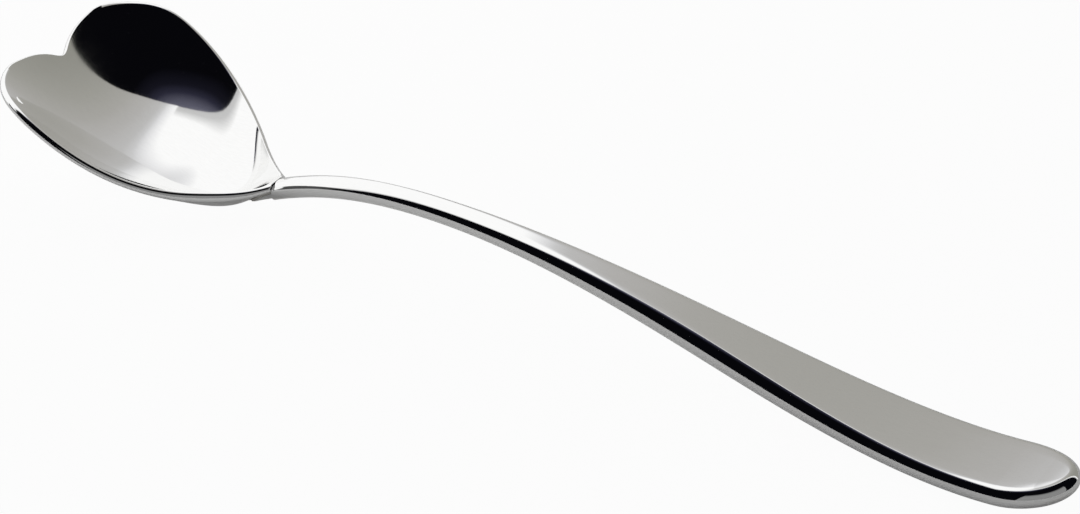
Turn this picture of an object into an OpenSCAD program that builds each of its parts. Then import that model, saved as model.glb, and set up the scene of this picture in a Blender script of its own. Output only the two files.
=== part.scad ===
// Long-handled spoon with a heart-shaped bowl, lying on a table: the heel of the bowl and the underside
// of the handle's end touch the table at z = 0. The front of the bowl points to -X, the handle to +X.

/* [Overall] */
// Length from the front of the lobes to the end of the handle
overall_length = 176; // [168:1:200]

/* [Bowl outline] */
// Length of the bowl, with the tab that lies on the neck
bowl_length = 43.2; // [40:0.2:48]
// Greatest width of the bowl
bowl_width = 38; // [34:0.5:42]
// Distance from the front to the greatest width
widest_at = 12; // [10:0.5:14]
// Distance from the bowl's back end to the heel, its lowest point
heel_at = 9.2; // [8.2:0.5:13.2]
// Width of the bowl at the heel
heel_width = 18.7; // [15:0.1:21]
// Distance between the foremost points of the two lobes
lobe_spread = 18.6; // [15:0.2:21]
// Depth of the notch between the lobes
notch_depth = 1.6; // [1:0.1:3.6]
// Half width of the rounded root of the notch
notch_root = 2.2; // [1.8:0.1:3]

/* [Bowl heights] */
// Height of the rim line at the front
front_rim_z = 20.6; // [17:0.1:22]
// Height of the rim at the greatest width
widest_rim_z = 15.6; // [13:0.2:17]
// Height of the rim at the heel
heel_rim_z = 5.7; // [4.8:0.1:7]
// Depth of the hollow below the rim line at the front
front_depth = 1.7; // [1.2:0.1:2.6]
// Depth of the hollow at the greatest width
widest_depth = 8.3; // [6:0.1:9]
// Distance from the heel to the middle of the hollow
mid_at = 10; // [8:0.5:12]
// Height of the hollow's floor at its middle
mid_floor_z = 3.2; // [2.8:0.1:4]
// Thickness of the pressed sheet, square to its surface
sheet_t = 1.1; // [0.9:0.1:1.5]
// Reach of the rounded rim, in plan
rim_r = 0.7; // [0.5:0.05:0.9]

/* [Neck] */
// Width of the neck
neck_w = 3.7; // [3.5:0.1:4.7]
// Thickness of the neck
neck_t = 3.3; // [2.6:0.1:3.4]
// Height of the top face where the handle meets the bowl
neck_z = 6.4; // [5.4:0.1:7.9]
// Climb of the neck towards the handle, in degrees
neck_climb = 27; // [20:1:32]
// Widening of each edge of the neck towards the handle, in degrees
neck_spread = 0.5; // [0:0.5:4]

/* [Handle] */
// Distance from the neck to the top of the arch
arch_run = 34; // [28:0.5:40]
// Height of the top face at the arch
arch_z = 13.2; // [11:0.2:16]
// Width at the arch
arch_w = 4.3; // [3.8:0.1:5.5]
// Widening of each edge at the arch, in degrees
arch_spread = 1.3; // [0.5:0.1:2.5]
// Thickness at the arch
arch_t = 3; // [2.6:0.1:3.6]
// Distance from the handle's end back to the flare, where it broadens fastest
flare_run = 58; // [50:0.5:66]
// Width at the flare
flare_w = 8.5; // [7:0.1:10]
// Thickness at the flare, the stoutest place of the handle
flare_t = 4; // [3.2:0.1:4.4]
// Height of the top face at the flare
flare_z = 8.9; // [7.5:0.1:10.5]
// Widening of each edge at the flare, in degrees
flare_angle = 4.5; // [2.5:0.5:6]
// Fall of the top face at the flare, in degrees
fall_angle = 11; // [9:0.5:13]
// Distance from the handle's end back to the line where it rests on the table
rest_run = 18; // [14:0.5:24]
// Thickness at the rest line
rest_t = 3.2; // [2.6:0.1:3.8]
// Greatest width of the handle's end
end_w = 13.6; // [11:0.2:16]
// Length of the rounded end
end_round = 9.6; // [7.6:0.2:12]
// Thickness at the very end
end_t = 2.6; // [2:0.1:3]
// Height of the top face at the very end
end_z = 4.6; // [4:0.1:6]

/* [Brazed lap] */
// Length of the tongue that laps under the bowl
lap_length = 5; // [3.5:0.5:6.5]
// Width of the tongue
tongue_w = 2; // [1.8:0.1:2.4]
// Thickness of the tongue at its front
tongue_tip_t = 0.5; // [0.4:0.05:0.6]
// Length of the tongue's rounded front
tongue_round = 1.6; // [1.2:0.1:1.8]
// Step from the neck's underside up to the tongue's
tongue_step = 0.3; // [0.1:0.05:0.4]
// Gap that the filler metal is drawn into
braze_gap = 0.08; // [0.05:0.01:0.12]
// Width and height of the filler bead
bead = 0.45; // [0.3:0.05:0.6]

/* [Table contact] */
// Depth of the flats where the spoon touches the table
flat_cut = 0.2; // [0.15:0.01:0.3]

/* [Hidden] */

// Steps along each stretch of the outlines, round their edges and over the dish
notch_steps = 10;
lobe_steps = 18;
side_steps = 30;
tab_steps = 2;
dish_rings = 14;
edge_steps = 6;
tongue_steps = 10;
round_steps = 12;
bar_steps = 60;
end_steps = 24;

// Slopes of the long curves at the places named
rim_front_slope = -0.06;
rim_widest_slope = -0.52;
rim_heel_slope = -0.15;
floor_front_slope = -1.6;
floor_widest_slope = -0.5;
floor_mid_slope = -0.26;
side_heel_slope = -0.88;
side_end_slope = -0.83;
notch_flank_slope = -0.35;
notch_flank_share = 0.58;
end_rise_slope = 0.06;
end_thin_slope = -0.08;
bead_hollow = 0.3;

// Distance to either side of a place at which its slope is measured
slope_step = 0.05;

// Places along the spoon, from the front of the lobes, and half widths
heel_x = bowl_length - heel_at;
mid_x = heel_x - mid_at;
neck_at = bowl_length + braze_gap;
arch_at = neck_at + arch_run;
flare_at = overall_length - flare_run;
rest_at = overall_length - rest_run;
end_at = overall_length - end_round;
dish_at = (widest_at + heel_x) / 2;
tongue_at = neck_at - lap_length;
lobe_y = lobe_spread / 2;
core_y = bowl_width / 2 - rim_r;
heel_y = heel_width / 2 - rim_r;
tab_y = neck_w / 2 - rim_r;
tongue_y = tongue_w / 2;
end_y = end_w / 2;
neck_slope = tan(neck_climb);

// Smooth curve through knots of [place, value, slope], its slope, and a vector of length 1
function knot(k, x, i = 0) = i < len(k) - 2 && x > k[i + 1][0] ? knot(k, x, i + 1) : i;
function hermite(a, b, x) =
    let (run = b[0] - a[0], t = (x - a[0]) / run, u = 1 - t)
    a[1] * (1 + 2 * t) * u * u + b[1] * (1 + 2 * u) * t * t + run * t * u * (a[2] * u - b[2] * t);
function along(k, x) = let (i = knot(k, x)) hermite(k[i], k[i + 1], x);
function slope(k, x) = (along(k, x + slope_step) - along(k, x - slope_step)) / (2 * slope_step);
function unit(v) = v / norm(v);

// Bowl: its rim line, the floor of its hollow, its sides and the notch between its lobes
rim_line = [
    [0, front_rim_z, rim_front_slope],
    [widest_at, widest_rim_z, rim_widest_slope],
    [heel_x, heel_rim_z, rim_heel_slope],
    [bowl_length, neck_z, neck_slope]
];
floor_line = [
    [0, front_rim_z - front_depth, floor_front_slope],
    [widest_at, widest_rim_z - widest_depth, floor_widest_slope],
    [mid_x, mid_floor_z, floor_mid_slope],
    [heel_x, sheet_t - flat_cut, 0],
    [bowl_length, neck_z, neck_slope]
];
side_line = [
    [widest_at, core_y, 0],
    [heel_x, heel_y, side_heel_slope],
    [bowl_length, tab_y, side_end_slope]
];
notch_line = [
    [0, notch_depth, 0],
    [notch_root, notch_depth * notch_flank_share, notch_flank_slope],
    [lobe_y, 0, 0]
];

// Dish: a parabola across each section, from the floor up to the rim line
function dish_half(x) = x < widest_at ? core_y : along(side_line, x);
function dish(x, y) =
    let (low = along(floor_line, x), share = y / dish_half(x))
    low + (along(rim_line, x) - low) * share * share;
function steepness(x, y) =
    let (
        e = slope_step,
        sx = (dish(x + e, y) - dish(x - e, y)) / (2 * e),
        sy = (dish(x, y + e) - dish(x, y - e)) / (2 * e)
    )
    norm([1, sx, sy]);
function underside(x, y) = max(0, dish(x, y) - sheet_t * steepness(x, y));

// Half outline of the dish, from the notch round a lobe to the middle of the tab's end
half_outline = concat(
    [for (i = [0:notch_steps - 1])
        let (y = lobe_y * i / notch_steps)
        [rim_r + along(notch_line, y), y]],
    [for (i = [0:lobe_steps - 1])
        let (a = 90 * i / lobe_steps)
        [widest_at - (widest_at - rim_r) * cos(a), lobe_y + (core_y - lobe_y) * sin(a)]],
    [for (i = [0:side_steps])
        let (x = widest_at + (bowl_length - widest_at) * i / side_steps)
        [x, along(side_line, x)]],
    [for (i = [1:tab_steps]) [bowl_length, tab_y * (1 - i / tab_steps)]]
);
half_count = len(half_outline);
outline = concat(
    half_outline,
    [for (i = [half_count - 2:-1:1]) [half_outline[i][0], -half_outline[i][1]]]
);
count = len(outline);

// Outward direction of the outline in plan: none across the tab's flat end, sideways at its corners
function outward(i) =
    let (
        p = outline[i],
        d = outline[(i + 1) % count] - outline[(i + count - 1) % count]
    )
    p[0] < bowl_length - slope_step ? unit([-d[1], d[0]])
    : abs(p[1]) < tab_y - slope_step ? [0, 0]
    : [0, sign(p[1])];

// Points of the dish, of the underside and of the rounded rim between them
function place(i, j) = let (c = [dish_at, 0]) c + (outline[i] - c) * j / dish_rings;
function dish_point(i, j) = let (p = place(i, j)) [p[0], p[1], dish(p[0], p[1])];
function under_point(i, j) = let (p = place(i, j)) [p[0], p[1], underside(p[0], p[1])];
function rim_point(i, k) =
    let (
        p = outline[i],
        a = 90 - 180 * k / edge_steps,
        top = dish(p[0], p[1]),
        low = underside(p[0], p[1]),
        q = p + rim_r * cos(a) * outward(i)
    )
    [q[0], q[1], (top + low) / 2 + (top - low) / 2 * sin(a)];

// Bands of triangles between loops of n points, the first m loops of a list of points
function bands(n, m) = [
    for (j = [0:m - 2], i = [0:n - 1])
        let (a = j * n + i, b = j * n + (i + 1) % n)
        each [[a, a + n, b + n], [a, b + n, b]]
];

module bowl() {
    // Loops from the middle of the dish, over the rim, to the middle of the underside
    all = [0:count - 1];
    loops = concat(
        [for (j = [1:dish_rings - 1]) [for (i = all) dish_point(i, j)]],
        [for (k = [0:edge_steps]) [for (i = all) rim_point(i, k)]],
        [for (j = [dish_rings - 1:-1:1]) [for (i = all) under_point(i, j)]]
    );
    m = len(loops);
    top = m * count;
    low = top + 1;
    last = (m - 1) * count;
    points = concat(
        [for (l = loops) each l],
        [[dish_at, 0, dish(dish_at, 0)], [dish_at, 0, underside(dish_at, 0)]]
    );
    faces = concat(
        [for (i = all) [top, i, (i + 1) % count]],
        bands(count, m),
        [for (i = all) [low, last + (i + 1) % count, last + i]]
    );
    color("silver") polyhedron(points, faces);
}

// Handle: its top face, thickness and half width, and those of the tongue
bar_top = [
    [neck_at, neck_z, neck_slope],
    [arch_at, arch_z, 0],
    [flare_at, flare_z, -tan(fall_angle)],
    [rest_at, rest_t - flat_cut, 0],
    [overall_length, end_z, end_rise_slope]
];
bar_thick = [
    [neck_at, neck_t, 0],
    [arch_at, arch_t, 0],
    [flare_at, flare_t, 0],
    [rest_at, rest_t, 0],
    [overall_length, end_t, end_thin_slope]
];
bar_half = [
    [neck_at, neck_w / 2, tan(neck_spread)],
    [arch_at, arch_w / 2, tan(arch_spread)],
    [flare_at, flare_w / 2, tan(flare_angle)],
    [end_at, end_y, 0]
];
// Surface of the lap: the filler's gap below the bowl, square to it
function lap(x, y) = underside(x, y) - braze_gap * steepness(x, y);
function tongue_top(x) = lap(min(x, bowl_length - slope_step), 0);
tongue_root_t = tongue_top(neck_at) - (neck_z - neck_t + tongue_step);
tongue_thick = [[tongue_at, tongue_tip_t, 0], [neck_at, tongue_root_t, 0]];

// Half outlines in plan, each point with its outward direction, top height and thickness
tongue_side = concat(
    [for (i = [0:round_steps])
        let (a = 90 * i / round_steps)
        [[tongue_at + tongue_round * (1 - cos(a)), tongue_y * sin(a)],
         unit([-cos(a) / tongue_round, sin(a) / tongue_y])]],
    [for (i = [1:tongue_steps])
        [[tongue_at + tongue_round + (lap_length - tongue_round) * i / tongue_steps, tongue_y], [0, 1]]]
);
bar_side = concat(
    [for (i = [0:bar_steps - 1])
        let (x = neck_at + (end_at - neck_at) * i / bar_steps)
        [[x, along(bar_half, x)], unit([-slope(bar_half, x), 1])]],
    [for (i = [0:end_steps])
        let (a = 90 * i / end_steps)
        [[end_at + end_round * sin(a), end_y * cos(a)], unit([sin(a) / end_round, cos(a) / end_y])]]
);
handle_side = concat(
    [for (s = tongue_side) let (x = s[0][0]) [s[0], s[1], tongue_top(x), along(tongue_thick, x)]],
    [for (s = bar_side) let (x = s[0][0]) [s[0], s[1], along(bar_top, x), along(bar_thick, x)]]
);
function mirrored(s) = [[s[0][0], -s[0][1]], [s[1][0], -s[1][1]], s[2], s[3]];
handle_half_count = len(handle_side);
handle_loop = concat(
    handle_side,
    [for (i = [handle_half_count - 2:-1:1]) mirrored(handle_side[i])]
);

// Point on the full round of the handle's edge, from its top face down to its underside
function edge_point(s, k) =
    let (
        a = 90 - 180 * k / edge_steps,
        r = s[3] / 2,
        q = s[0] - r * (1 - cos(a)) * s[1]
    )
    [q[0], q[1], max(0, s[2] - r + r * sin(a))];

// Strip of triangles across a loop that is the same on both sides, from loop point 0 to its far end
function strip(n) = concat(
    [[0, 1, n - 1], [n / 2 - 1, n / 2, n / 2 + 1]],
    [for (i = [1:n / 2 - 2]) each [[i, i + 1, n - i - 1], [i, n - i - 1, n - i]]]
);

module handle() {
    n = len(handle_loop);
    points = [for (k = [0:edge_steps]) each [for (s = handle_loop) edge_point(s, k)]];
    last = edge_steps * n;
    faces = concat(
        strip(n),
        bands(n, edge_steps + 1),
        [for (f = strip(n)) [last + f[2], last + f[1], last + f[0]]]
    );
    color("gainsboro") polyhedron(points, faces);
}

// Bead of filler: a hollow fillet in the corner between the tongue's side and the bowl's underside
bead_side = [for (s = handle_side) if (s[0][0] < bowl_length - bead && s[0][1] <= tongue_y) s];
bead_path = concat(
    [for (i = [len(bead_side) - 1:-1:0]) mirrored(bead_side[i])],
    [for (i = [1:len(bead_side) - 1]) bead_side[i]]
);
function bead_section(s) =
    let (
        near = s[0] + braze_gap * s[1],
        mid = near + bead_hollow * bead * s[1],
        far = near + bead * s[1],
        z = lap(near[0], near[1])
    )
    [
        [near[0], near[1], z],
        [far[0], far[1], lap(far[0], far[1])],
        [mid[0], mid[1], z - bead_hollow * bead],
        [near[0], near[1], z - bead]
    ];

module braze_seam() {
    n = 4;
    m = len(bead_path);
    points = [for (s = bead_path) each bead_section(s)];
    last = (m - 1) * n;
    faces = concat(
        [[3, 2, 1, 0]],
        [for (f = bands(n, m)) [f[2], f[1], f[0]]],
        [[last, last + 1, last + 2, last + 3]]
    );
    color("darkgray") polyhedron(points, faces);
}

// The model stands with the middle of its box over the origin
module centred() {
    translate([-overall_length / 2, 0, 0]) children();
}

centred() bowl();
centred() handle();
centred() braze_seam();
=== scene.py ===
from math import cos, pi, radians, sin, sqrt, tan

import bmesh
import bpy
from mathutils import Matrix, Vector


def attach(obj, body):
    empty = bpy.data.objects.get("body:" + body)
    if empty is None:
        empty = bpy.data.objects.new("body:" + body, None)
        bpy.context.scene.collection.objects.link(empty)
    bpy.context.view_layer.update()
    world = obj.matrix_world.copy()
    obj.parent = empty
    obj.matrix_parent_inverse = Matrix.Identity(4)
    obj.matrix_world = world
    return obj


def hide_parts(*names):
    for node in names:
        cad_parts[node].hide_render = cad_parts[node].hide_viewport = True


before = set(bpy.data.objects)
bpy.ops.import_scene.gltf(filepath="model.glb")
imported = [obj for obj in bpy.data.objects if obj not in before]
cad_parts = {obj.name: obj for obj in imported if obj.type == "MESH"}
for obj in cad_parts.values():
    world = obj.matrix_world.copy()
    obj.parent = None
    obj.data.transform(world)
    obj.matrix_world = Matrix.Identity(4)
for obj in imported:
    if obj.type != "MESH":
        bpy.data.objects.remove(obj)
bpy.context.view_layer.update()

mm = 0.001
spoon = {
    "length": 176.0, "flat": 0.2,  # mm, x is measured from the front of the lobes
    "fairReach": 1.6,  # mm to either side over which a curve is evened out, to keep kinks from reflections
    "slopeStep": 0.05,  # mm to either side, for slopes
    "merge": 2e-7, "collapse": 1e-8,  # metres, for seams and poles
}


def hermite(a, b, x):
    run = b[0] - a[0]
    t = (x - a[0]) / run
    u = 1 - t
    ends = a[1] * (1 + 2 * t) * u * u + b[1] * (1 + 2 * u) * t * t
    return ends + run * t * u * (a[2] * u - b[2] * t)


# knots are (place, value, slope)
def along(knots, x):
    i = 0
    while i < len(knots) - 2 and x > knots[i + 1][0]:
        i += 1
    return hermite(knots[i], knots[i + 1], x)


def faired(knots, x, reach=spoon["fairReach"]):
    r = max(0.0, min(reach, x - knots[0][0], knots[-1][0] - x))
    steps = (-1.0, -0.5, 0.0, 0.5, 1.0)
    shares = (1, 3, 4, 3, 1)
    return sum(s * along(knots, x + r * d) for s, d in zip(shares, steps)) / sum(shares)


def place(x, y, z):
    return Vector(((x - spoon["length"] / 2) * mm, y * mm, max(0.0, z) * mm))


# a grid of u by v squares is laid over the surface that point(u, v) gives, then seams and poles are merged
def layOver(name, uCount, vCount, point, sharp):
    bm = bmesh.new()
    bmesh.ops.create_grid(bm, x_segments=uCount, y_segments=vCount, size=0.5)
    for v in bm.verts:
        v.co = point(v.co.x + 0.5, v.co.y + 0.5)
    bmesh.ops.remove_doubles(bm, verts=bm.verts, dist=spoon["merge"])
    bmesh.ops.dissolve_degenerate(bm, edges=bm.edges, dist=spoon["collapse"])
    bmesh.ops.holes_fill(bm, edges=[e for e in bm.edges if e.is_boundary])  # the bead's two ends
    bmesh.ops.recalc_face_normals(bm, faces=bm.faces)
    for f in bm.faces:
        f.smooth = True
    mesh = bpy.data.meshes.new(name)
    bm.to_mesh(mesh)
    bm.free()
    mesh.set_sharp_from_angle(angle=radians(sharp))
    piece = bpy.data.objects.new(name, mesh)
    bpy.context.scene.collection.objects.link(piece)
    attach(piece, "root")
    return piece


# bowl

bowl = {
    "length": 43.2, "width": 38.0, "widestAt": 12.0, "heelAt": 34.0, "heelWidth": 18.7, "midAt": 24.0,
    "lobeSpread": 18.6, "notchDepth": 1.6, "notchRoot": 2.2, "notchShare": 0.58, "notchSlope": -0.35,
    "frontRim": 20.58, "widestRim": 15.6, "heelRim": 5.7,
    "frontDepth": 1.7, "widestDepth": 8.3, "midFloor": 3.05,
    "rimSlopes": (-0.06, -0.52, -0.15), "floorSlopes": (-1.6, -0.5, -0.283), "sideSlopes": (-0.88, -0.83),
    "sheet": 1.1, "rim": 0.7, "tabWidth": 3.7, "tabZ": 6.4, "climb": 27.0,
    "outline": (0.12, 0.42, 0.98),  # shares of the outline where notch, lobe and side end
    "around": 384, "rings": 64, "rimSteps": 16, "crowding": 0.25, "sharp": 50,
}
bowlCore = bowl["width"] / 2 - bowl["rim"]
tabCore = bowl["tabWidth"] / 2 - bowl["rim"]
lobeY = bowl["lobeSpread"] / 2
climb = tan(radians(bowl["climb"]))
rimLine = [
    (0, bowl["frontRim"], bowl["rimSlopes"][0]),
    (bowl["widestAt"], bowl["widestRim"], bowl["rimSlopes"][1]),
    (bowl["heelAt"], bowl["heelRim"], bowl["rimSlopes"][2]),
    (bowl["length"], bowl["tabZ"], climb),
]
floorLine = [
    (0, bowl["frontRim"] - bowl["frontDepth"], bowl["floorSlopes"][0]),
    (bowl["widestAt"], bowl["widestRim"] - bowl["widestDepth"], bowl["floorSlopes"][1]),
    (bowl["midAt"], bowl["midFloor"], bowl["floorSlopes"][2]),
    (bowl["heelAt"], bowl["sheet"] - spoon["flat"], 0),
    (bowl["length"], bowl["tabZ"], climb),
]
sideLine = [
    (bowl["widestAt"], bowlCore, 0),
    (bowl["heelAt"], bowl["heelWidth"] / 2 - bowl["rim"], bowl["sideSlopes"][0]),
    (bowl["length"], tabCore, bowl["sideSlopes"][1]),
]
notchLine = [
    (0, bowl["notchDepth"], 0),
    (bowl["notchRoot"], bowl["notchDepth"] * bowl["notchShare"], bowl["notchSlope"]),
    (lobeY, 0, 0),
]
# the side carried on to the front, so that evening out has something on both sides of the greatest width
halfLine = [(0, bowlCore, 0)] + sideLine


def hollow(x, y):
    low = faired(floorLine, x)
    share = y / faired(halfLine, x)
    return low + (faired(rimLine, x) - low) * share * share


def tilt(x, y):
    e = spoon["slopeStep"]
    sx = (hollow(x + e, y) - hollow(x - e, y)) / (2 * e)
    sy = (hollow(x, y + e) - hollow(x, y - e)) / (2 * e)
    return sqrt(1 + sx * sx + sy * sy)


def underside(x, y):
    return max(0.0, hollow(x, y) - bowl["sheet"] * tilt(x, y))


# half of the heart, from the notch (t = 0) round a lobe and along the side to the middle of the tab (t = 1)
def heart(t):
    notchEnd, lobeEnd, sideEnd = bowl["outline"]
    if t < notchEnd:
        y = lobeY * t / notchEnd
        return bowl["rim"] + along(notchLine, y), y
    if t < lobeEnd:
        a = pi / 2 * (t - notchEnd) / (lobeEnd - notchEnd)
        return (bowl["widestAt"] - (bowl["widestAt"] - bowl["rim"]) * cos(a),
                lobeY + (bowlCore - lobeY) * sin(a))
    if t < sideEnd:
        run = bowl["length"] - bowl["widestAt"]
        x = bowl["widestAt"] + run * (t - lobeEnd) / (sideEnd - lobeEnd)
        return x, along(sideLine, x)
    return bowl["length"], tabCore * (1 - (t - sideEnd) / (1 - sideEnd))


# the way outwards in plan, none on the tab's flat end
def heartWay(t):
    e, hair = 1e-4, 1e-7
    sideEnd = bowl["outline"][2]
    if t > sideEnd + hair:
        return Vector((0.0, 0.0))
    a = heart(t - e) if t > e else (heart(e)[0], -heart(e)[1])
    b = heart(min(sideEnd - hair, t + e))
    way = Vector((a[1] - b[1], b[0] - a[0])).normalized()
    room = (bowl["length"] - heart(t)[0]) / bowl["rim"]  # the rim stops at the tab's flat end
    if way.x > room:
        way = Vector((room, sqrt(1 - room * room)))
    return way


bowlRows = 2 * bowl["rings"] + bowl["rimSteps"]


def bowlPoint(u, v):
    side = 1 if u <= 0.5 else -1
    t = 2 * u if u <= 0.5 else 2 - 2 * u
    x, y = heart(t)
    row = round(v * bowlRows)
    if row <= bowl["rings"] or row >= bowl["rings"] + bowl["rimSteps"]:
        share = min(row, bowlRows - row) / bowl["rings"]
        share *= 1 + bowl["crowding"] - bowl["crowding"] * share  # rings draw closer towards the rim
        middle = (bowl["widestAt"] + bowl["heelAt"]) / 2
        x, y = middle + (x - middle) * share, y * share
        z = hollow(x, y) if row <= bowl["rings"] else underside(x, y)
        return place(x, side * y, z)
    a = pi / 2 - pi * (row - bowl["rings"]) / bowl["rimSteps"]
    top, low = hollow(x, y), underside(x, y)
    way = heartWay(t)
    x, y = x + bowl["rim"] * cos(a) * way.x, y + bowl["rim"] * cos(a) * way.y
    return place(x, side * y, (top + low) / 2 + (top - low) / 2 * sin(a))


bowlShell = layOver("bowlShell", bowl["around"], bowlRows, bowlPoint, bowl["sharp"])
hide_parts("bowl")
print("bowl pressed:", len(bowlShell.data.polygons), "faces")

# handle

handle = {
    "neckWidth": 3.7, "neckThick": 3.3, "neckZ": 6.4, "neckSpread": 0.5,
    "archRun": 34.0, "archZ": 13.2, "archWidth": 4.3, "archSpread": 1.3, "archThick": 3.0,
    "flareRun": 58.0, "flareWidth": 8.5, "flareThick": 4.0, "flareZ": 8.9, "flareSpread": 4.5, "fall": 11.0,
    "restRun": 18.0, "restThick": 3.2, "endWidth": 13.6, "endRound": 9.6,
    "endThick": 3.2, "endZ": 5.4, "endRise": 0.27, "endThinning": -0.02,
    "lap": 5.0, "tongueWidth": 2.0, "tongueTip": 0.5, "tongueRound": 1.6, "tongueStep": 0.3, "gap": 0.08,
    "fairReach": 4.0, "stations": 420, "frontCount": 24, "tongueCount": 30, "endCount": 90,
    "edgeSteps": 20, "acrossSteps": 6, "sharp": 50,
}
neckAt = bowl["length"] + handle["gap"]
archAt = neckAt + handle["archRun"]
flareAt = spoon["length"] - handle["flareRun"]
restAt = spoon["length"] - handle["restRun"]
endAt = spoon["length"] - handle["endRound"]
tongueAt = neckAt - handle["lap"]
barTop = [
    (neckAt, handle["neckZ"], climb),
    (archAt, handle["archZ"], 0),
    (flareAt, handle["flareZ"], -tan(radians(handle["fall"]))),
    (restAt, handle["restThick"] - spoon["flat"], 0),
    (spoon["length"], handle["endZ"], handle["endRise"]),
]
barThick = [
    (neckAt, handle["neckThick"], 0),
    (archAt, handle["archThick"], 0),
    (flareAt, handle["flareThick"], 0),
    (restAt, handle["restThick"], 0),
    (spoon["length"], handle["endThick"], handle["endThinning"]),
]
barHalf = [
    (neckAt, handle["neckWidth"] / 2, tan(radians(handle["neckSpread"]))),
    (archAt, handle["archWidth"] / 2, tan(radians(handle["archSpread"]))),
    (flareAt, handle["flareWidth"] / 2, tan(radians(handle["flareSpread"]))),
    (endAt, handle["endWidth"] / 2, 0),
]


def barTopAt(x):
    return faired(barTop, x, handle["fairReach"])


def barThickAt(x):
    return faired(barThick, x, handle["fairReach"])


def barHalfAt(x):
    return faired(barHalf, x, handle["fairReach"])


# the filler's gap below the bowl
def lapSurface(x, y):
    return underside(x, y) - handle["gap"] * tilt(x, y)


def tongueTop(x):
    return lapSurface(min(x, bowl["length"] - spoon["slopeStep"]), 0)


tongueRoot = tongueTop(neckAt) - (handle["neckZ"] - handle["neckThick"] + handle["tongueStep"])
tongueThick = [(tongueAt, handle["tongueTip"], 0), (neckAt, tongueRoot, 0)]
lapCount = handle["frontCount"] + handle["tongueCount"]
barCount = handle["stations"] - lapCount - handle["endCount"] - 1


# outline on one side: tongue's round front, tongue, shoulder, bar and round end; gives the place in plan,
# the way outwards, the function for the height of the top and the thickness
def handleSide(i):
    tongueY = handle["tongueWidth"] / 2
    if i <= handle["frontCount"]:
        a = pi / 2 * i / handle["frontCount"]
        x, y = tongueAt + handle["tongueRound"] * (1 - cos(a)), tongueY * sin(a)
        way = Vector((-cos(a) / handle["tongueRound"], sin(a) / tongueY)).normalized()
        return x, y, way, tongueTop, along(tongueThick, x)
    if i <= lapCount:
        start = tongueAt + handle["tongueRound"]
        x = start + (neckAt - start) * (i - handle["frontCount"]) / handle["tongueCount"]
        return x, tongueY, Vector((0.0, 1.0)), tongueTop, along(tongueThick, x)
    i -= lapCount + 1
    if i < barCount:
        x = neckAt + (endAt - neckAt) * i / barCount
        e = spoon["slopeStep"]
        rise = (barHalfAt(x + e) - barHalfAt(x - e)) / (2 * e)
        return x, barHalfAt(x), Vector((-rise, 1.0)).normalized(), barTopAt, barThickAt(x)
    a = pi / 2 * (i - barCount) / handle["endCount"]
    endY = handle["endWidth"] / 2
    x, y = endAt + handle["endRound"] * sin(a), endY * cos(a)
    way = Vector((sin(a) / handle["endRound"], cos(a) / endY)).normalized()
    return x, y, way, barTopAt, barThickAt(x)


handleSides = [handleSide(i) for i in range(handle["stations"] + 1)]
handleRows = 2 * (handle["edgeSteps"] + handle["acrossSteps"])


# rows run from the middle of the top face, round the edge, to the middle of the underside
def handlePoint(u, v):
    x, y, way, top, thick = handleSides[round(u * handle["stations"])]
    r = thick / 2
    row = round(v * handleRows)
    half = handleRows // 2
    side = 1 if row <= half else -1
    row = row if row <= half else handleRows - row
    flat = handle["acrossSteps"] // 2
    if row < flat:
        a, share = pi / 2, row / flat
    elif row > flat + handle["edgeSteps"]:
        a, share = -pi / 2, (half - row) / (half - flat - handle["edgeSteps"])
    else:
        a, share = pi / 2 - pi * (row - flat) / handle["edgeSteps"], 1
    inset = r * (1 - cos(a))
    px, py = x - inset * way.x, max(0.0, y - inset * way.y) * share
    return place(px, side * py, top(x) - r + r * sin(a))


handleBar = layOver("handleBar", handle["stations"], handleRows, handlePoint, handle["sharp"])
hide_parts("handle")
print("handle forged:", len(handleBar.data.polygons), "faces")

# filler bead under the lap

bead = {"size": 0.45, "hollow": 0.3, "steps": 160, "sectionSteps": 8, "sharp": 60}


# u runs along the tongue's edge from one side to the other, v round the bead's three faces
def beadPoint(u, v):
    reach = lapCount * abs(2 * u - 1)
    side = 1 if u >= 0.5 else -1
    low = int(min(lapCount - 1, reach))
    a, b = handleSides[low], handleSides[low + 1]
    f = reach - low
    x, y = a[0] + (b[0] - a[0]) * f, a[1] + (b[1] - a[1]) * f
    x = min(x, bowl["length"] - bead["size"])
    way = (a[2] * (1 - f) + b[2] * f).normalized()
    near = Vector((x, y)) + handle["gap"] * way
    k = v * 3
    if k <= 1:  # along the bowl
        p = near + bead["size"] * k * way
        return place(p.x, side * p.y, lapSurface(p.x, p.y))
    if k <= 2:  # hollow face from the bowl down to the tongue, then up along the tongue
        t = k - 1
        sag = 4 * t * (1 - t) * bead["size"] * (0.5 - bead["hollow"])
        p = near + (bead["size"] * (1 - t) - sag) * way
        outer = near + bead["size"] * (1 - t) * way
        return place(p.x, side * p.y, lapSurface(outer.x, outer.y) - bead["size"] * t + sag)
    return place(near.x, side * near.y, lapSurface(near.x, near.y) - bead["size"] * (3 - k))


brazeBead = layOver("brazeBead", bead["steps"], bead["sectionSteps"] * 3, beadPoint, bead["sharp"])
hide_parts("braze_seam")
print("bead laid:", len(brazeBead.data.polygons), "faces")


# materials

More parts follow.
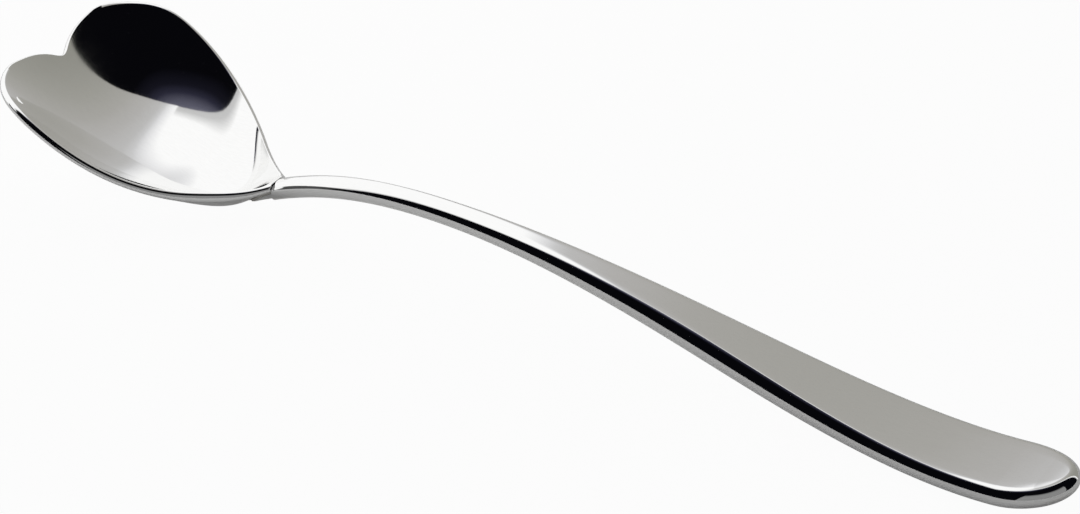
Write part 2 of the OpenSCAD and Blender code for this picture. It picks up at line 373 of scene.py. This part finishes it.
class Socket:
    tree = None

    def __init__(self, socket):
        self.socket = socket

    @classmethod
    def add(cls, kind, settings=None, out=0, **inputs):
        node = cls.tree.nodes.new(kind)
        for name, value in (settings or {}).items():
            if name == "stops":
                stops = node.color_ramp.elements
                for i, (spot, colour) in enumerate(value):
                    stop = stops[i] if i < len(stops) else stops.new(spot)
                    stop.position, stop.color = spot, colour
            else:
                setattr(node, name, value)
        for name, value in inputs.items():
            key = int(name[1:]) if name[1:].isdigit() else name.replace("_", " ")  # i0 is the first input
            target = node.inputs[key]
            if isinstance(value, Socket):
                cls.tree.links.new(value.socket, target)
            else:
                target.default_value = value
        return cls(node.outputs[out]) if len(node.outputs) else node

    def maths(self, operation, a, b):
        return Socket.add("ShaderNodeMath", {"operation": operation}, i0=a, i1=b)

    def __add__(self, other):
        return self.maths("ADD", self, other)

    def __radd__(self, other):
        return self.maths("ADD", other, self)

    def __sub__(self, other):
        return self.maths("SUBTRACT", self, other)

    def __mul__(self, other):
        return self.maths("MULTIPLY", self, other)

    def clip(self, low, high, soft="SMOOTHSTEP"):
        return Socket.add("ShaderNodeMapRange", {"interpolation_type": soft}, i0=self, i1=low, i2=high)


def newMaterial(name):
    material = bpy.data.materials.new(name)
    material.use_nodes = True
    Socket.tree = material.node_tree
    Socket.tree.nodes.clear()
    return material


def finishWith(shader):
    Socket.add("ShaderNodeOutputMaterial", Surface=shader)


polish = {
    "bowl": (0.96, 0.96, 0.955), "bowlLines": (700, 5200, 700),
    "handle": (0.955, 0.955, 0.95), "handleLines": (500, 6000, 6000),
    "darker": 0.985, "lighter": 1.01, "linesFrom": 0.3, "linesTo": 0.7, "bump": 0.012, "bumpDepth": 0.00005,
    "rough": 0.045, "marks": 0.02,
    "smudge": 0.05, "smudgeScale": 90.0, "smudgeFrom": 0.52, "smudgeTo": 0.78,
}


def mixed(share, a, b):
    return Socket.add("ShaderNodeMix", {"data_type": "RGBA"}, out=2, i0=share, i6=(*a, 1), i7=(*b, 1))


# fine polishing lines along the piece and broad, faint smudges
def polishedSteel(name, colour, stretch):
    material = newMaterial(name)
    spot = Socket.add("ShaderNodeTexCoord", out=3)
    lines = Socket.add("ShaderNodeMapping", Vector=spot, Scale=stretch)
    fine = Socket.add("ShaderNodeTexNoise", Vector=lines, Scale=1.0, Detail=4.0, Roughness=0.6)
    broad = Socket.add("ShaderNodeTexNoise", Vector=spot, Scale=polish["smudgeScale"],
                       Detail=3.0, Roughness=0.55)
    smudge = broad.clip(polish["smudgeFrom"], polish["smudgeTo"])
    shade = mixed(fine.clip(polish["linesFrom"], polish["linesTo"]),
                  [c * polish["darker"] for c in colour], [min(1, c * polish["lighter"]) for c in colour])
    rough = polish["rough"] + smudge * polish["smudge"] + (fine - 0.5) * polish["marks"]
    bump = Socket.add("ShaderNodeBump", Strength=polish["bump"], Distance=polish["bumpDepth"], Height=fine)
    finishWith(Socket.add("ShaderNodeBsdfPrincipled", Base_Color=shade, Metallic=1.0,
                          Roughness=rough, Normal=bump))
    return material


filler = {
    "dark": (0.66, 0.64, 0.6), "light": (0.72, 0.71, 0.68), "grainFrom": 0.35, "grainTo": 0.7,
    "grainScale": 4200.0, "rough": 0.26, "grainRough": 0.16, "bump": 0.25, "bumpDepth": 0.00004,
}


def satinFiller(name):
    material = newMaterial(name)
    spot = Socket.add("ShaderNodeTexCoord", out=3)
    grain = Socket.add("ShaderNodeTexNoise", Vector=spot, Scale=filler["grainScale"],
                       Detail=5.0, Roughness=0.65)
    tint = mixed(grain.clip(filler["grainFrom"], filler["grainTo"]), filler["dark"], filler["light"])
    rough = filler["rough"] + grain * filler["grainRough"]
    bump = Socket.add("ShaderNodeBump", Strength=filler["bump"], Distance=filler["bumpDepth"], Height=grain)
    finishWith(Socket.add("ShaderNodeBsdfPrincipled", Base_Color=tint, Metallic=1.0,
                          Roughness=rough, Normal=bump))
    return material


bowlShell.data.materials.append(polishedSteel("bowlPolish", polish["bowl"], polish["bowlLines"]))
handleBar.data.materials.append(polishedSteel("handlePolish", polish["handle"], polish["handleLines"]))
brazeBead.data.materials.append(satinFiller("fillerSatin"))
print("materials made")

# studio: a white floor and room, with two dark flags, a light strip and two grey cards, all glowing panels
# of painted light and shade that the metal reflects and the camera does not see

studio = {
    "reach": 0.58,  # metres from the middle of the spoon to the dome of cards
    "domeAround": 128, "domeUp": 64,
    "floorGap": 0.002,  # this and the starts, tops and widths below are shares of the reach
    "flagWay": (0.676, -0.721, 0.151), "flagStart": 0.026,
    "skyWay": (-0.3, 0.1, 0.95), "skyFrom": 0.9, "skyTo": 0.985,
    "frontLayer": 0.995, "frontFrom": 92.0, "frontTo": 168.0, "frontTop": 0.72, "frontLevel": 0.24,
    "lowFlagLayer": 1.005, "lowFlagWay": (0.375, -0.927, 0.0), "lowFlagTop": 0.3, "lowFlagLevel": 0.07,
    "stripLayer": 1.01, "stripWidth": 0.1, "stripLevel": 0.57,
    "cardReach": 0.38, "cardWay": (0.922, 0.03, -0.385), "cardStart": -0.56, "cardEnd": 0.305,
    "cardFlag": 0.02,  # the card's edge beside the flag, this far back from the middle
    "floorSize": 6.0, "floorColour": 0.97, "floorGlow": 0.96, "floorGlint": 0.08,
}
# painted light of the grey card: its glow runs from a white edge down to a darker, warm far end
cardGlowTones = [
    (0.0, (1.0, 1.0, 1.0)), (0.024, (0.83, 0.83, 0.84)), (0.04, (0.7, 0.7, 0.71)),
    (0.049, (0.6, 0.6, 0.605)), (0.072, (0.507, 0.503, 0.5)), (0.142, (0.449, 0.441, 0.43)),
    (0.277, (0.394, 0.386, 0.365)), (0.55, (0.343, 0.338, 0.31)), (0.965, (0.284, 0.281, 0.252)),
]
# glow of the dark flag: near black, rising to painted sky light overhead where the sky shows past it
flagGlowTones = [
    (0.0, (0.002, 0.002, 0.003)), (0.5, (0.007, 0.007, 0.012)),
    (0.72, (0.022, 0.022, 0.038)), (1.0, (0.11, 0.11, 0.15)),
]


def stageMesh(name, bm, material):
    mesh = bpy.data.meshes.new(name)
    for f in bm.faces:
        f.smooth = True
    bm.to_mesh(mesh)
    bm.free()
    mesh.materials.append(material)
    obj = bpy.data.objects.new(name, mesh)
    bpy.context.scene.collection.objects.link(obj)
    return obj


# part of a dome round the spoon, cut to what lies beyond each plane and hidden from the camera
def domePart(name, reach, cuts, material):
    bm = bmesh.new()
    bmesh.ops.create_uvsphere(bm, u_segments=studio["domeAround"], v_segments=studio["domeUp"],
                              radius=reach)
    for way, start in cuts:
        bmesh.ops.bisect_plane(bm, geom=bm.verts[:] + bm.edges[:] + bm.faces[:], dist=1e-6,
                               plane_co=way * start * reach, plane_no=way, clear_inner=True)
    stageMesh(name, bm, material).visible_camera = False


# glow whose tones run along a direction, from low to high as shares of the dome's reach
def glowAlong(name, reach, way, low, high, tones):
    material = newMaterial(name)
    spot = Socket.add("ShaderNodeTexCoord", out=3)
    far = Socket.add("ShaderNodeVectorMath", {"operation": "DOT_PRODUCT"}, out=1, i0=spot, i1=way)
    share = far.clip(low * reach, high * reach, soft="LINEAR")
    tone = Socket.add("ShaderNodeValToRGB", {"stops": [(at, (*c, 1)) for at, c in tones]}, Fac=share)
    finishWith(Socket.add("ShaderNodeEmission", Color=tone, Strength=1.0))
    return material


def compass(degrees):
    return Vector((sin(radians(degrees)), cos(radians(degrees)), 0))


up = Vector((0, 0, 1))
reach, flagStart, cardStart = studio["reach"], studio["flagStart"], studio["cardStart"]
stripStart = flagStart - studio["stripWidth"]
flagWay, skyWay, lowFlagWay, cardWay = (
    Vector(studio[k]).normalized() for k in ("flagWay", "skyWay", "lowFlagWay", "cardWay"))
frontTone, lowTone, stripTone = ((studio[k],) * 3 for k in ("frontLevel", "lowFlagLevel", "stripLevel"))
frontTones = [(0.0, frontTone), (0.8, frontTone), (1.0, lowTone)]
lowTones = [(0.0, lowTone), (1.0, lowTone)]
stripTones = [(0.0, (1.0, 1.0, 1.0)), (0.7, stripTone), (1.0, stripTone)]
aboveFloor = (up, studio["floorGap"])

# the front card and the low flag glow at set grey levels: painted light and shade for the metal to reflect
domePart("frontCard", reach * studio["frontLayer"],
         [(compass(studio["frontFrom"] + 90), 0.0), (compass(studio["frontTo"] - 90), 0.0),
          (-up, -studio["frontTop"]), aboveFloor],
         glowAlong("frontGlow", reach, up, 0.0, studio["frontTop"], frontTones))
# the dark flag is a sheet of painted shade for the metal to reflect, with painted sky light towards the
# zenith
domePart("darkFlag", reach, [(flagWay, flagStart), aboveFloor],
         glowAlong("flagGlow", reach, skyWay, studio["skyFrom"], studio["skyTo"], flagGlowTones))
domePart("lowFlag", reach * studio["lowFlagLayer"],
         [(lowFlagWay, 0.0), (-up, -studio["lowFlagTop"]), aboveFloor],
         glowAlong("lowFlagGlow", reach, up, 0.0, studio["lowFlagTop"], lowTones))
domePart("lightStrip", reach * studio["stripLayer"], [(flagWay, stripStart), aboveFloor],
         glowAlong("stripGlow", reach, flagWay, stripStart, flagStart, stripTones))
# the grey card glows with painted light, graded along cardWay
domePart("greyCard", studio["cardReach"],
         [(cardWay, cardStart), (-flagWay, studio["cardFlag"]), aboveFloor],
         glowAlong("cardGlow", studio["cardReach"], cardWay, cardStart, studio["cardEnd"], cardGlowTones))


# matt for light, but nearly plain white where the camera sees it
def floorMaterial():
    material = newMaterial("floorWhite")
    c = studio["floorColour"]
    matt = Socket.add("ShaderNodeBsdfDiffuse", Color=(c, c, c, 1))
    glow = Socket.add("ShaderNodeEmission", Color=(1, 1, 1, 1), Strength=1.0)
    rays = Socket.add("ShaderNodeLightPath")
    seen, mirrored, through = (Socket(rays.socket.node.outputs[k])
                               for k in ("Is Camera Ray", "Is Glossy Ray", "Is Transmission Ray"))
    share = seen * studio["floorGlow"] + (mirrored + through) * studio["floorGlint"]
    finishWith(Socket.add("ShaderNodeMixShader", Fac=share, i1=matt, i2=glow))
    return material


floorMesh = bmesh.new()
bmesh.ops.create_grid(floorMesh, x_segments=1, y_segments=1, size=studio["floorSize"])
stageMesh("floor", floorMesh, floorMaterial())

world = bpy.data.worlds.new("studioRoom")
bpy.context.scene.world = world
world.use_nodes = True
background = world.node_tree.nodes["Background"]
background.inputs["Color"].default_value = (1, 1, 1, 1)
background.inputs["Strength"].default_value = 1.0
print("studio set")

# camera

view = {
    "lens": 100.0, "sensor": 36.0, "near": 0.01, "far": 20.0,
    "place": (0.1928, -0.3031, 0.26), "tilt": 55.02, "turn": 32.1,
}
cameraData = bpy.data.cameras.new("viewCamera")
cameraData.lens = view["lens"]
cameraData.sensor_width, cameraData.sensor_fit = view["sensor"], "HORIZONTAL"
cameraData.clip_start, cameraData.clip_end = view["near"], view["far"]
camera = bpy.data.objects.new("viewCamera", cameraData)
camera.location = view["place"]
camera.rotation_euler = (radians(view["tilt"]), 0, radians(view["turn"]))
bpy.context.scene.collection.objects.link(camera)
bpy.context.scene.camera = camera
bpy.context.scene.view_settings.view_transform = "Standard"

bpy.context.view_layer.update()
